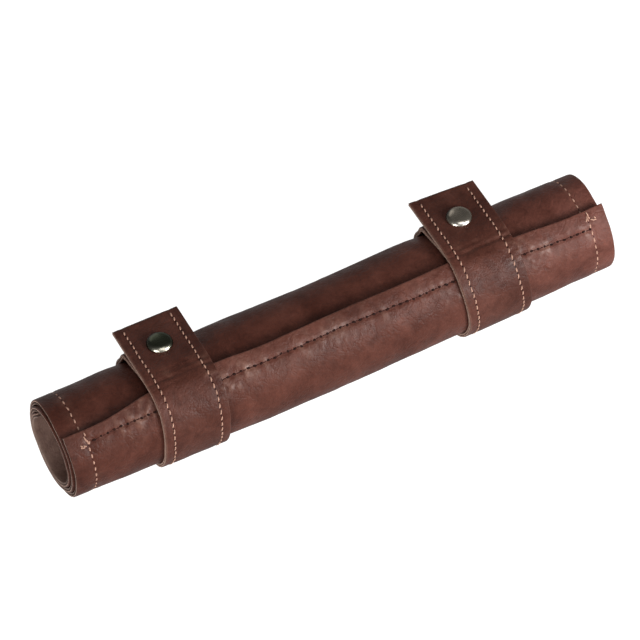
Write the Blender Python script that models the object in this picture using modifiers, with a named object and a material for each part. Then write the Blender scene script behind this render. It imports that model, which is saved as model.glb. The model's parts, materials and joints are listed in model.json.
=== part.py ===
"""Roll-up pencil wrap, closed with two snap straps.

The rolled sheet is a chain of stiff leather panels joined by living hinges:
one panel for every 45 degrees of the roll, from the free flap edge on top,
round the front, under the base and up the back, then spiralling inwards.
+X runs along the roll, +Y to the back, +Z up. The origin is the middle of the
bounding box's underside. All lengths are in metres unless marked mm.
"""
import bpy
import bmesh
from math import atan2, cos, sin, tan, radians, pi
from mathutils import Vector

MM = 0.001

# ---- rolled sheet -------------------------------------------------------
SHEET_WIDTH = 244 * MM        # along the roll
SHEET_T = 2.0 * MM            # cover and lining together
STEP_DEG = 45                 # roll angle taken by each panel
PANELS = 23
FRONT, BASE, BACK = 2, 4, 6   # upright front, bottom and upright back panels; 0 is the flap
# Distance from the roll axis to the middle plane of panels 0 to 8, mm
OUTER_APOTHEMS = [20.5, 20.2, 19.9, 19.55, 19.2, 18.9, 18.5, 17.0, 16.9]
INNER_DROP = 0.425            # apothem lost by each later panel, mm
END_TRIM = 0.6 * MM           # panel end set back from its hinge line
FLAP_START_Y = -0.3 * MM      # flap's free end, before trimming
LAST_LENGTH = 1.6             # last panel's length, in half-panel lengths
TURN_SLIP = 0.5 * MM          # sideways creep of the roll in one turn

# ---- pencil pocket ------------------------------------------------------
GAP = 0.3 * MM                # between leather layers
POCKET_T = 0.7 * MM
POCKET_FIRST, POCKET_LAST = 9, 19
POCKET_X0, POCKET_X1 = -112 * MM, 6 * MM
POCKET_TRIM = 1.1 * MM

# ---- straps -------------------------------------------------------------
STRAP_X = {"left": -68.7 * MM, "right": 67.9 * MM}    # strap centres
STRAP_W = 28.8 * MM
STRAP_T = 2.0 * MM
STRAP_OFFSET = SHEET_T / 2 + GAP + STRAP_T / 2        # between middle planes
STRAP_PIECES = ["over_flap", "front_3", "front_2", "front_1", "base", "rear_1", "rear_2"]
TIP_TILT = -radians(14)       # the tip slopes down towards the back
TIP_LEN = 30.4 * MM
TAB_Z = 12.9 * MM             # height of the tab's fold above the roll axis
TAB_END_Y = 12.0 * MM
TAB_TRIM = 1.15 * MM          # strap ends set back from the tab's fold
BEVEL = 0.25 * MM

# ---- snaps --------------------------------------------------------------
SNAP_FROM_FOLD = 16.5 * MM    # snap centre from the tip's fold
TIP_HOLE_R = 1.6 * MM
TAB_HOLE_R = 1.15 * MM
DRILL_LEN = 6 * MM
DRILL_SEGMENTS = 24
TURN_STEPS = 28
TAB_CLEAR = 1.2               # snap faces from the tab's middle plane, mm
POST_HEAD_T = 0.25            # mm

# Outlines are (radius, height above the tip's middle plane), mm
CAP_OUTLINE = [
    (0, 3.6), (1.8, 3.45), (3.3, 3.0), (4.6, 2.35), (5.25, 1.75), (5.4, 1.4),
    (5.2, 1.25), (1.25, 1.25), (1.25, -1.7), (0, -1.7),
]
SOCKET_OUTLINE = [
    (3.5, -1.25), (3.6, -1.4), (3.6, -2.5), (3.5, -2.6),
    (2.05, -2.6), (2.05, -1.8), (1.5, -1.8), (1.5, -1.25),
]

# ---- materials ----------------------------------------------------------
LEATHER = dict(colour=(0.115, 0.048, 0.035), roughness=0.42, metallic=0.0)
LINING = dict(colour=(0.16, 0.085, 0.06), roughness=0.6, metallic=0.0)
METAL = dict(colour=(0.42, 0.39, 0.34), roughness=0.28, metallic=1.0)


# ---- roll geometry, in the plane across the roll axis -------------------
apothem = [a * MM for a in OUTER_APOTHEMS]
while len(apothem) < PANELS:
    apothem.append(apothem[-1] - INNER_DROP * MM)
angle = [radians(90 + STEP_DEG * k) for k in range(PANELS)]
normal = [Vector((0, cos(a), sin(a))) for a in angle]
along = [Vector((0, -sin(a), cos(a))) for a in angle]   # flap to inner end


def corner(k):
    """Point where the middle planes of panels k and k+1 meet."""
    this, after = normal[k], normal[k + 1]
    det = this.y * after.z - this.z * after.y
    y = (apothem[k] * after.z - this.z * apothem[k + 1]) / det
    z = (this.y * apothem[k + 1] - apothem[k] * after.y) / det
    return Vector((0, y, z))


hinge_at = [corner(k) for k in range(PANELS - 1)]
half_panel = apothem[-1] * tan(radians(STEP_DEG / 2))
start_of = [Vector((0, FLAP_START_Y, apothem[0]))] + hinge_at
end_of = hinge_at + [hinge_at[-1] + along[-1] * half_panel * LAST_LENGTH]


def slip(k):
    """Sideways creep of panel k towards -X."""
    return -TURN_SLIP * k * STEP_DEG / 360


# ---- strap tip, tab and snap --------------------------------------------
tip_dir = Vector((0, cos(TIP_TILT), sin(TIP_TILT)))
tip_up = Vector((0, -sin(TIP_TILT), cos(TIP_TILT)))
tip_hinge = Vector((0, 0, apothem[0] + STRAP_OFFSET))
tip_end = tip_hinge + tip_dir * TIP_LEN
tab_hinge = Vector((0, apothem[BACK] + STRAP_OFFSET, TAB_Z))
tab_len = (tab_hinge.y - TAB_END_Y) / cos(TIP_TILT)
snap_mid = tip_hinge + tip_dir * SNAP_FROM_FOLD       # on the tip's middle plane
tab_height = (tab_hinge - snap_mid).dot(tip_up)       # tab's middle plane from the tip's

# ---- shift from the roll axis to the bounding box's underside -----------
y_front = -(apothem[FRONT] + STRAP_OFFSET + STRAP_T / 2)
y_back = (tip_end + tip_up * STRAP_T / 2).y
z_low = -(apothem[BASE] + STRAP_OFFSET + STRAP_T / 2)
SHIFT = Vector((-slip(PANELS - 1) / 2, -(y_front + y_back) / 2, -z_low))


# ---- scene and object helpers -------------------------------------------
def new_collection(name):
    collection = bpy.data.collections.new(name)
    bpy.context.scene.collection.children.link(collection)
    return collection


for old in list(bpy.data.objects):
    bpy.data.objects.remove(old, do_unlink=True)
parts = new_collection("pencil_wrap")
cutters = new_collection("cutters")
pivot_at = {}                 # shifted position of each pivot, by name


def material(name, colour, roughness, metallic):
    mat = bpy.data.materials.new(name)
    mat.use_nodes = True
    inputs = mat.node_tree.nodes["Principled BSDF"].inputs
    inputs["Base Color"].default_value = (*colour, 1)
    inputs["Roughness"].default_value = roughness
    inputs["Metallic"].default_value = metallic
    return mat


def put(ob, at, parent):
    """Link an object at a point measured from the roll axis, under its pivot."""
    parts.objects.link(ob)
    ob.location = at + SHIFT
    if parent is not None:
        ob.location = at + SHIFT - pivot_at[parent.name]
        ob.parent = parent


def place(name, mesh, at, tilt, parent, look):
    """Mesh object turned about X, with a material of its own."""
    ob = bpy.data.objects.new(name, mesh)
    ob.rotation_euler = (tilt, 0, 0)
    put(ob, at, parent)
    mesh.materials.append(material(name + "_mat", **look))
    return ob


def pivot(name, at, parent):
    """Empty on a hinge line."""
    ob = bpy.data.objects.new(name, None)
    ob.empty_display_size = 0.01
    put(ob, at, parent)
    pivot_at[name] = at + SHIFT
    return ob


def to_mesh(bm, name):
    mesh = bpy.data.meshes.new(name)
    bm.to_mesh(mesh)
    bm.free()
    return mesh


def slab(name, x_mid, width, start, end, thick, parent, look):
    """Flat bevelled slab whose middle line runs from start to end."""
    run = end - start
    bm = bmesh.new()
    bmesh.ops.create_cube(bm, size=1)
    bmesh.ops.scale(bm, verts=bm.verts, vec=(width, run.length, thick))
    middle = (start + end) / 2
    middle.x = x_mid
    ob = place(name, to_mesh(bm, name), middle, atan2(run.z, run.y), parent, look)
    bevel = ob.modifiers.new("edge", "BEVEL")
    bevel.width = BEVEL
    bevel.segments = 1
    bevel.limit_method = "ANGLE"
    return ob


def turned(name, outline, at, parent, closed=False):
    """Metal solid of revolution about the snap's axis."""
    bm = bmesh.new()
    verts = [bm.verts.new((radius * MM, 0, height * MM)) for radius, height in outline]
    for pair in zip(verts, verts[1:]):
        bm.edges.new(pair)
    if closed:
        bm.edges.new((verts[-1], verts[0]))
    ob = place(name, to_mesh(bm, name), at, TIP_TILT, parent, METAL)
    screw = ob.modifiers.new("turn", "SCREW")
    screw.axis = "Z"
    screw.angle = 2 * pi
    screw.steps = screw.render_steps = TURN_STEPS
    screw.use_merge_vertices = True
    screw.merge_threshold = 0.00001


def drill(ob, radius, at):
    """Round hole through a strap along the snap's axis."""
    bm = bmesh.new()
    bmesh.ops.create_cone(bm, cap_ends=True, segments=DRILL_SEGMENTS,
                          radius1=radius, radius2=radius, depth=DRILL_LEN)
    cutter = bpy.data.objects.new("drill_" + ob.name, to_mesh(bm, "drill"))
    cutter.location = at + SHIFT
    cutter.rotation_euler = (TIP_TILT, 0, 0)
    cutter.hide_render = True
    cutter.display_type = "WIRE"
    cutters.objects.link(cutter)
    hole = ob.modifiers.new("hole", "BOOLEAN")
    hole.operation = "DIFFERENCE"
    hole.solver = "EXACT"
    hole.object = cutter


# ---- pieces -------------------------------------------------------------
def build_pivots():
    """Hinge pivots chained outwards from the base; returns each panel's own."""
    carrier = {BASE: None}
    for k in range(BASE - 1, -1, -1):
        carrier[k] = pivot(f"axis_front_{BASE - k}", hinge_at[k], carrier[k + 1])
    for k in range(BASE + 1, PANELS):
        carrier[k] = pivot(f"axis_rear_{k - BASE:02d}", hinge_at[k - 1], carrier[k - 1])
    return carrier


def cover_name(k):
    if k == 0:
        return "cover_flap"
    if k == BASE:
        return "cover_base"
    return f"cover_front_{BASE - k}" if k < BASE else f"cover_rear_{k - BASE:02d}"


def build_cover(carrier):
    for k in range(PANELS):
        trim = along[k] * END_TRIM
        slab(cover_name(k), slip(k), SHEET_WIDTH, start_of[k] + trim, end_of[k] - trim,
             SHEET_T, carrier[k], LEATHER)


def build_pocket(carrier):
    """Lining panels on the inner face of the cover."""
    x_mid = (POCKET_X0 + POCKET_X1) / 2
    for number, k in enumerate(range(POCKET_FIRST, POCKET_LAST + 1), start=1):
        trim = along[k] * POCKET_TRIM
        inward = -normal[k] * (SHEET_T / 2 + GAP + POCKET_T / 2)
        slab(f"pencil_pocket_{number:02d}", slip(k) + x_mid, POCKET_X1 - POCKET_X0,
             start_of[k] + trim + inward, end_of[k] - trim + inward,
             POCKET_T, carrier[k], LINING)


def build_strap_run(side, x, carrier):
    """Strap pieces lying on the cover, from the top round to the back."""
    for k, piece in enumerate(STRAP_PIECES):
        start = start_of[k] if k else Vector((0, 0, apothem[0]))
        start = start + along[k] * END_TRIM
        if k == BACK:
            end = Vector((0, apothem[BACK], TAB_Z - TAB_TRIM))
        else:
            end = end_of[k] - along[k] * END_TRIM
        outward = normal[k] * STRAP_OFFSET
        slab(f"strap_{side}_{piece}", x, STRAP_W, start + outward, end + outward,
             STRAP_T, carrier[k], LEATHER)


def build_tip(side, x, axis, snap_at):
    """Upper strap end, sloping down to the back."""
    tip = slab(f"strap_{side}_tip", x, STRAP_W, tip_hinge + tip_dir * END_TRIM, tip_end,
               STRAP_T, axis, LEATHER)
    drill(tip, TIP_HOLE_R, snap_at)


def build_tab(side, x, axis, snap_at):
    """Lower strap end, folded forwards under the tip and parallel to it."""
    tab = slab(f"strap_{side}_tab", x, STRAP_W, tab_hinge - tip_dir * tab_len,
               tab_hinge - tip_dir * TAB_TRIM, STRAP_T, axis, LEATHER)
    drill(tab, TAB_HOLE_R, snap_at + tip_up * tab_height)


def build_snap(side, tip_axis, tab_axis, snap_at):
    """Cap and socket on the tip, stud and post on the tab."""
    stud_foot = tab_height / MM + TAB_CLEAR
    head_top = tab_height / MM - TAB_CLEAR
    stud_outline = [
        (0, -1.95), (1.3, -1.95), (1.6, -2.2), (1.6, -2.45), (1.3, -2.75), (1.3, -2.95),
        (3.0, -3.0), (3.0, stud_foot), (0.95, stud_foot), (0.95, -2.3), (0, -2.3),
    ]
    post_outline = [
        (0, -2.5), (0.7, -2.5), (0.7, head_top), (2.2, head_top),
        (2.2, head_top - POST_HEAD_T), (0, head_top - POST_HEAD_T),
    ]
    turned(f"snap_cap_{side}", CAP_OUTLINE, snap_at, tip_axis)
    turned(f"snap_socket_{side}", SOCKET_OUTLINE, snap_at, tip_axis, closed=True)
    turned(f"snap_stud_{side}", stud_outline, snap_at, tab_axis)
    turned(f"snap_post_{side}", post_outline, snap_at, tab_axis)


def build_strap(side, x, carrier):
    build_strap_run(side, x, carrier)
    tip_axis = pivot(f"axis_tip_{side}", tip_hinge, carrier[0])
    tab_axis = pivot(f"axis_tab_{side}", tab_hinge, carrier[BACK])
    snap_at = Vector((x, snap_mid.y, snap_mid.z))
    build_tip(side, x, tip_axis, snap_at)
    build_tab(side, x, tab_axis, snap_at)
    build_snap(side, tip_axis, tab_axis, snap_at)


panel_pivots = build_pivots()
build_cover(panel_pivots)
build_pocket(panel_pivots)
for strap_side, strap_x in STRAP_X.items():
    build_strap(strap_side, strap_x, panel_pivots)
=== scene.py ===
"""Looks for a roll-up pencil wrap: a leather sheet rolled up and held by two snapped straps.

The sheet is two leather plies, the straps two plies each. All are cut half way between
hinge lines.

Lengths are millimetres in the roll frame until a mesh is made: the origin is on the roll
axis, X runs along the roll, -Y is its front and +Z is up. The roll parameter q counts
panels of 45 degrees from the top of the roll (q = 0), down over the front and on inwards.
"""
import json
import math
from collections import defaultdict
from typing import NamedTuple

import bmesh
import bpy
import numpy as np
from mathutils import Matrix, Vector

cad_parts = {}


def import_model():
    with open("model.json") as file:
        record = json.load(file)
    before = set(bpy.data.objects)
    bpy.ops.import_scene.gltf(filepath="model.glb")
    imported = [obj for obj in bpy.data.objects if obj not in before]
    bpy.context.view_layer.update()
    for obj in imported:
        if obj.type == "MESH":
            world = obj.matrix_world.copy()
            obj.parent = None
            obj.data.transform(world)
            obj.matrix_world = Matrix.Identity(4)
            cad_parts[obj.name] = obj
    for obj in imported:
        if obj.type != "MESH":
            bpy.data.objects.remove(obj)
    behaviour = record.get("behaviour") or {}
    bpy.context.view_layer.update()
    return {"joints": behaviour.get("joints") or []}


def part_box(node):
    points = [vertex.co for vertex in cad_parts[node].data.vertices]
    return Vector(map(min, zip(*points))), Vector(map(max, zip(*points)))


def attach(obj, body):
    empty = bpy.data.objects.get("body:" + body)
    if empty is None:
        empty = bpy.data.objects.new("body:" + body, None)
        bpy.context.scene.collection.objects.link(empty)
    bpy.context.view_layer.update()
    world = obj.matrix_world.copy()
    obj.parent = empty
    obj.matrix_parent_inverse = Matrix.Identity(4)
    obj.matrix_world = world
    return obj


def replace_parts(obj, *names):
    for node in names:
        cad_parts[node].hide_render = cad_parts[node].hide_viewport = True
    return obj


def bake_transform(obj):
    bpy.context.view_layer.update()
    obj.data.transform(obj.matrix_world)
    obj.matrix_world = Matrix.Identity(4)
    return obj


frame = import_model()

MM = 0.001
rng = np.random.default_rng(7)
X_AXIS = np.array([1.0, 0, 0])

# ---------------------------------------------------------------- driving dimensions
PANELS = 23
BASE_PANEL = 4               # the panel that rests on the table
TURN = 8                     # panels in one turn
PANEL_ANGLE = 45             # degrees
PANEL_LENGTH = 16.4          # along the outer turn
TURN_PITCH = 2.42            # between turns pressed together

PLY = 1.0                    # thickness of each ply, from the middle surface
PLY_GAP = 0.05               # from the sheet's middle surface to each ply
SHEET_HALF = 122.4           # half the sheet's width along X
SEAM_LEFT, SEAM_RIGHT = 8.5, 7.9   # end seams, in from the -X and +X edges
EDGE_SEAM = 7.6              # lining seams, in from the flap's edge and the inner end
SHEET_END = 22.75            # q of the sheet's inner end
SEAM_PITCH = 3.0

POCKET_X = (-112.0, 6.0)
POCKET_Q = (8.5, 19.5)

STRAP_WIDTH = 28.8
STRAP_GAP = 0.06             # from a strap's middle surface to each ply
STRAP_SEAM = 4.0             # in from a strap's edge
FOLD_Z = 22.8                # height of the tips' fold line over the roll axis
TIP_SLOPE = math.radians(14)

# ---------------------------------------------------------------- the frame
JOINTS = {joint["name"]: joint["pos_m"] for joint in frame["joints"]}
tip_left, tip_right = JOINTS["lift_tip_left"], JOINTS["lift_tip_right"]
flap_low, flap_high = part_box("cover_flap")
AXIS_X = (flap_low.x + flap_high.x) * 500
AXIS_Y = tip_left[1] * 1000
AXIS_Z = tip_left[2] * 1000 - FOLD_Z
ROLL_ORIGIN = np.array([AXIS_X, AXIS_Y, AXIS_Z])
LEFT_X = tip_left[0] * 1000 - AXIS_X       # strap centres
RIGHT_X = tip_right[0] * 1000 - AXIS_X

HINGES = {}                  # (y, z) of the hinge between panels k and k + 1
for joint_name, place in JOINTS.items():
    hinge = (place[1] * 1000 - AXIS_Y, place[2] * 1000 - AXIS_Z)
    if joint_name == "unroll":
        HINGES[BASE_PANEL] = hinge
    elif joint_name.startswith("unroll_rear_"):
        HINGES[int(joint_name[-2:]) + 3] = hinge
    elif joint_name.startswith("unroll_front_"):
        HINGES[BASE_PANEL - int(joint_name[-1])] = hinge


def body(k):
    """Moving body of panel k."""
    if k == BASE_PANEL:
        return "root"
    return f"front_{BASE_PANEL - k}" if k < BASE_PANEL else f"rear_{k - BASE_PANEL:02d}"


def cover_node(k):
    """CAD piece of panel k."""
    if k == 0:
        return "cover_flap"
    return "cover_base" if k == BASE_PANEL else f"cover_{body(k)}"


def world(point):
    return (point + ROLL_ORIGIN) * MM


def panel_mid(k):
    """Middle of panel k on its own middle plane, (y, z)."""
    angle = math.radians(90 + PANEL_ANGLE * k)
    outward = np.array([math.cos(angle), math.sin(angle)])
    return outward * (np.array(HINGES[k] if k in HINGES else HINGES[k - 1]) @ outward)


def blend_between(ob, start, end):
    """Bake a piece's place into its mesh; start and end are not used."""
    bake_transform(ob)


def bend(ob, k):
    """Pass a piece of the sheet on the hinge between panels k and k + 1 to blend_between, which
    only bakes its place.
    """
    blend_between(ob, panel_mid(k), panel_mid(k + 1))


# ---------------------------------------------------------------- shaping functions
def vnoise(x, y, seed):
    """Smooth value noise in two dimensions, -1 to 1."""
    table = np.random.default_rng(seed).uniform(-1, 1, (256, 256))
    xi, yi = np.floor(x).astype(int), np.floor(y).astype(int)
    fx, fy = x - xi, y - yi
    fx, fy = fx * fx * (3 - 2 * fx), fy * fy * (3 - 2 * fy)
    x0, x1, y0, y1 = xi % 256, (xi + 1) % 256, yi % 256, (yi + 1) % 256
    low = table[x0, y0] * (1 - fx) + table[x1, y0] * fx
    high = table[x0, y1] * (1 - fx) + table[x1, y1] * fx
    return low * (1 - fy) + high * fy


def smooth(value, low, high):
    """Smooth step from 0 at low to 1 at high."""
    t = np.clip((value - low) / (high - low), 0, 1)
    return t * t * (3 - 2 * t)


def hump(distance, width, power=2):
    """Bell of height 1; higher powers give a flatter top."""
    return np.exp(-(distance / width) ** power)


def soft_curve(value, table, step):
    """Look up a table of (place, value), averaged over five places a step apart."""
    places, values = zip(*table)
    total = 0.0
    for tap in (-2, -1, 0, 1, 2):
        total = total + 0.2 * np.interp(value + tap * step, places, values)
    return total


def rounded(distance, radius):
    """Drop of a rounded edge at a distance from it."""
    u = np.clip(1 - distance / radius, 0, 1)
    return radius * (1 - np.sqrt(np.maximum(0, 1 - u * u)))


# ---------------------------------------------------------------- roll shape
OUTER_RADII = [20.7, 20.55, 20.2, 19.8, 19.3, 19.1, 18.75, 17.95, 17.35]     # q = 0 to 8
RADII = list(enumerate(OUTER_RADII + [(16.9 - 0.425 * (k - 8)) / 0.985
                                      for k in range(9, PANELS + 1)]))

# (x, outward bulge) of the front and of the back
FRONT_BULGE = [
    (-122, -0.2), (-113, -0.1), (-104, 0.15), (-95, 0.4), (-70, 0.85), (-50, 1.15),
    (-41, 1.35), (-32, 1.55), (-5, 1.52), (13, 1.35), (23, 1.2), (50, 0.85), (72, 0.6),
    (98, 0.2), (107, 0.05), (122, -0.15)]
BACK_BULGE = [
    (-122, 1.95), (-103, 1.9), (-94, 2.0), (-60, 2.05), (-31, 1.95), (-13, 1.6), (5, 1.45),
    (23, 1.75), (42, 2.05), (70, 1.9), (98, 1.6), (107, 1.4), (122, 1.1)]
# (x, q) of the flap's free edge and of the seam along it
FLAP_EDGE = [
    (-122.8, 0.392), (-115, 0.393), (-108, 0.398), (-100, 0.359), (-94, 0.290),
    (-88, 0.230), (-82, 0.176), (-68, 0.150), (-54, 0.156), (-46, 0.180), (-36, 0.232),
    (-21, 0.226), (-7, 0.203), (8, 0.185), (23, 0.195), (37, 0.200), (46, 0.170),
    (56, 0.156), (68, 0.17), (83, 0.214), (92, 0.25), (102, 0.297), (109, 0.306),
    (122, 0.285)]
HEM_LINE = [
    (-122, 0.745), (-113.7, 0.73), (-105.6, 0.685), (-100, 0.655), (-94, 0.660),
    (-87, 0.668), (-68, 0.62), (-49, 0.583), (-39, 0.602), (-25, 0.591), (-10, 0.577),
    (5, 0.565), (14, 0.573), (25, 0.615), (34, 0.604), (52, 0.612), (68, 0.64),
    (83, 0.669), (89, 0.692), (97, 0.721), (104, 0.735), (112, 0.765), (122, 0.78)]
CURVE_STEP = 3               # softening of the curves along X


def r_mid(q):
    """Mid-surface radius, softened between panels."""
    return soft_curve(np.clip(q, 0, PANELS), RADII, 0.3)


def slip(q):
    """Sideways creep of the sheet as it rolls up."""
    return -0.5 * q / TURN


def bulge(q, x):
    """The roll is fuller at the front and slack behind, most of all in the middle."""
    front = soft_curve(x, FRONT_BULGE, CURVE_STEP)
    back = soft_curve(x, BACK_BULGE, CURVE_STEP)
    at_front = (0.15 + 0.85 * smooth(q, -0.4, 1.5)) * (1 - smooth(q, 2.7, 3.8))
    at_back = smooth(q, 4.3, 6.3) * (1 - 0.8 * smooth(q, 6.9, 8.0))
    # the straps draw the roll in where their tabs lie on it
    strap = hump(x - LEFT_X, 18, 6) + hump(x - RIGHT_X, 18, 6)
    pinch = strap * smooth(q, 6.2, 6.95) * (1 - smooth(q, 8.0, 8.6))
    return front * at_front + back * at_back * (1 - pinch) - 0.3 * pinch


def flap_edge(x):
    """q of the flap's free edge."""
    return soft_curve(x, FLAP_EDGE, CURVE_STEP) + 0.008 * vnoise(x / 11 + 3, 1.5, 3)


def hem_line(x):
    """q of the seam along the flap's edge."""
    return soft_curve(x, HEM_LINE, CURVE_STEP) + 0.006 * vnoise(x / 7, 7.5, 5)


def lift(q, x):
    """How far the free edge stands off the turn beneath it."""
    away = 1 - hump(x - LEFT_X, 18, 4) - hump(x - RIGHT_X, 18, 4)
    height = (0.35 + 0.75 * away * (0.6 + 0.4 * smooth(-np.abs(x), -100, -40))
              + 0.2 * vnoise(x / 12, 2.5, 11) * away)
    height = height * (1 - 0.6 * smooth(np.abs(x), 104, 120))
    return height * np.clip(1 - (q - 0.2) / 1.1, 0, 1.15) ** 2


def tight(q, x):
    """Inner turns close up under the outer one towards both ends, clear of the pockets."""
    turn = np.floor(q / TURN)
    outer_q = q - TURN * turn
    below = r_mid(outer_q) + bulge(outer_q, x) - TURN_PITCH * turn
    # carry on smoothly from one turn to the next
    after = (r_mid(outer_q + TURN) + bulge(outer_q + TURN, x) - TURN_PITCH * (turn - 1))
    mix = smooth(outer_q, 0, 2.2)
    wanted = below * mix + after * (1 - mix)
    change = wanted - r_mid(q) - bulge(q, x)
    return np.where(q > 8, change * smooth(q, 8, 10.2) * smooth(np.abs(x), 88, 116), 0.0)


def base(q, x):
    """Smooth mid surface of the sheet, without creases: y and z."""
    angle = np.radians(90 + PANEL_ANGLE * q)
    r = r_mid(q) + bulge(q, x) + lift(q, x) + tight(q, x)
    # long soft waves, fainter on the inner turns
    outer = 1 - 0.75 * smooth(q, 6, 12)
    r = (r + 0.10 * vnoise(x / 34 + 5, q * 1.1, 21) * outer
         + 0.07 * vnoise(x / 13, q * 2.3, 22) * outer)
    # the innermost turns are a little oval
    oval = smooth(q, 11, 17) * (1 - 0.8 * smooth(np.abs(x), 85, 112))
    r = r * (1 - 0.035 * oval * np.cos(2 * (angle - math.radians(25))))
    return r * np.cos(angle), r * np.sin(angle)


ARC_Q = np.linspace(0, PANELS + 1, 481)
arc_r = r_mid(ARC_Q)
ARC_LENGTH = np.concatenate([[0], np.cumsum(
    (arc_r[1:] + arc_r[:-1]) / 2 * np.diff(ARC_Q) * math.radians(PANEL_ANGLE))])


def arc_mm(q):
    """Nominal distance along the sheet from q = 0."""
    return np.interp(q, ARC_Q, ARC_LENGTH)


# ---------------------------------------------------------------- creases, wear and painted highlights
# where the hem puckers most: (x, width, strength)
HEM_PUCKERS = [(LEFT_X - 18, 7.0, 1.0), (LEFT_X + 19, 8.0, 1.0), (RIGHT_X - 18, 6.0, 1.0),
               (RIGHT_X + 20, 9.0, 1.0), (-5.0, 14.0, 0.55)]


def hem_relief(q, x):
    """Height of the puckered seam along the flap, and its wear with painted highlights on the
    puckers.
    """
    seam = (q - hem_line(x)) * PANEL_LENGTH
    near = hump(seam, 4.2)
    narrow = vnoise(x / 1.35 + 0.12 * seam, seam / 7, 41)
    broad = vnoise(x / 3.1 - 0.1 * seam, seam / 9, 42)
    strength = 0.55 + 0.45 * vnoise(x / 24, 0.5, 43)
    beyond = np.where(seam > 0, 1.0, 0.8)
    inside = 1 - smooth(np.abs(x), 112.5, 115.5)
    height = near * beyond * strength * (0.24 * narrow + 0.26 * broad) * (0.3 + 0.7 * inside)
    height = height - 0.45 * hump(seam, 0.8) * inside
    # the hem stands a little proud between seam and edge
    height = height + 0.16 * smooth(-seam, 0.5, 3) * hump(q, 1.2)
    # wear along the seam, partly painted highlight: the paler, pinker band where the hem
    # catches the light
    wear_and_highlight = 0.8 * near * np.clip(0.05 + broad + 0.8 * narrow, 0, 1) * strength * inside
    for place, width, amount in HEM_PUCKERS:
        local = hump(x - place, width) * hump(seam - 0.5, 8.0) * amount
        wave_1 = vnoise((x + 0.55 * seam) / 1.5 + place, seam / 4.5, 47)
        wave_2 = vnoise((x - 0.7 * seam) / 1.9 - place, seam / 4.0, 48)
        height = height + local * (0.20 * wave_1 + 0.16 * wave_2)
        # pucker crests painted paler: painted highlights where light glints on them, partly
        # wear
        wear_and_highlight = wear_and_highlight + local * 0.65 * np.clip(wave_1 + 0.6 * wave_2 - 0.1, 0, 1)
    return height, wear_and_highlight


def relief(q, x, from_flap, from_left, from_right):
    """Height of creases, seams and puckers on the cover, and its wear from 0 to 1, with painted
    highlights by the hem.
    """
    s = arc_mm(q)
    height = 0.10 * vnoise(x / 7, s / 7, 31) + 0.045 * vnoise(x / 2.6, s / 2.6, 32)
    # fine diagonal creases along the ridges of the noise
    ridge = 1 - 2 * np.abs(vnoise(x / 9 + s / 14, s / 11 - x / 30, 33))
    crease = np.clip(ridge - 0.86, 0, 1) / 0.14
    height = height - 0.07 * crease * (0.5 + 0.5 * vnoise(x / 20, s / 20, 34))
    hem_height, wear_and_highlight = hem_relief(q, x)
    height = height + hem_height
    wear_and_highlight = wear_and_highlight + 0.12 * hump(from_flap, 1.0)
    for from_end, seam in ((from_left, SEAM_LEFT), (from_right, SEAM_RIGHT)):
        off = from_end - seam
        near = hump(off, 2.6)
        pucker = vnoise(s / 1.5, off / 6, 51)
        height = height - 0.34 * hump(off, 0.7) + 0.09 * near * pucker
        wear_and_highlight = wear_and_highlight + 0.25 * near * np.clip(pucker, 0, 1) + 0.15 * hump(from_end, 0.5)
    return height, np.clip(wear_and_highlight, 0, 1)


# ---------------------------------------------------------------- shader helpers
def new_material(name):
    material = bpy.data.materials.new(name)
    material.use_nodes = True
    tree = material.node_tree
    tree.nodes.clear()
    output = tree.nodes.new("ShaderNodeOutputMaterial")
    shader = tree.nodes.new("ShaderNodeBsdfPrincipled")
    tree.links.new(shader.outputs[0], output.inputs[0])
    return material, tree, shader


def feed(tree, socket, value):
    """Link an output to a socket, or set it to a number or a colour."""
    if isinstance(value, bpy.types.NodeSocket):
        tree.links.new(value, socket)
    else:
        socket.default_value = (*value, 1) if isinstance(value, tuple) else value


def add(tree, kind, properties=None, **inputs):
    """Add a node; inputs are named by socket, with underscores for spaces."""
    node = tree.nodes.new(kind)
    for key, value in (properties or {}).items():
        setattr(node, key, value)
    for key, value in inputs.items():
        feed(tree, node.inputs[key.replace("_", " ")], value)
    return node


def noise(tree, vector, scale, detail, rough, distort=0.0):
    return add(tree, "ShaderNodeTexNoise", Scale=scale, Detail=detail, Roughness=rough,
               Distortion=distort, Vector=vector).outputs["Fac"]


def ramp(tree, factor, stops):
    """Colour ramp through (position, colour or grey level)."""
    node = add(tree, "ShaderNodeValToRGB")
    elements = node.color_ramp.elements
    while len(elements) < len(stops):
        elements.new(0.5)
    for element, (position, colour) in zip(elements, stops):
        element.position = position
        element.color = (*colour, 1) if isinstance(colour, tuple) else (*(colour,) * 3, 1)
    feed(tree, node.inputs[0], factor)
    return node.outputs[0]


def mix(tree, factor, first, second, mode="MIX"):
    node = add(tree, "ShaderNodeMix", {"data_type": "RGBA", "blend_type": mode})
    for index, value in ((0, factor), (6, first), (7, second)):
        feed(tree, node.inputs[index], value)
    return node.outputs[2]


def calc(tree, operation, first, second, clamp=False):
    node = add(tree, "ShaderNodeMath", {"operation": operation, "use_clamp": clamp})
    feed(tree, node.inputs[0], first)
    feed(tree, node.inputs[1], second)
    return node.outputs[0]


def bump(tree, shader, height, strength, distance):
    node = add(tree, "ShaderNodeBump", Strength=strength, Distance=distance, Height=height)
    feed(tree, shader.inputs["Normal"], node.outputs[0])


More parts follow.
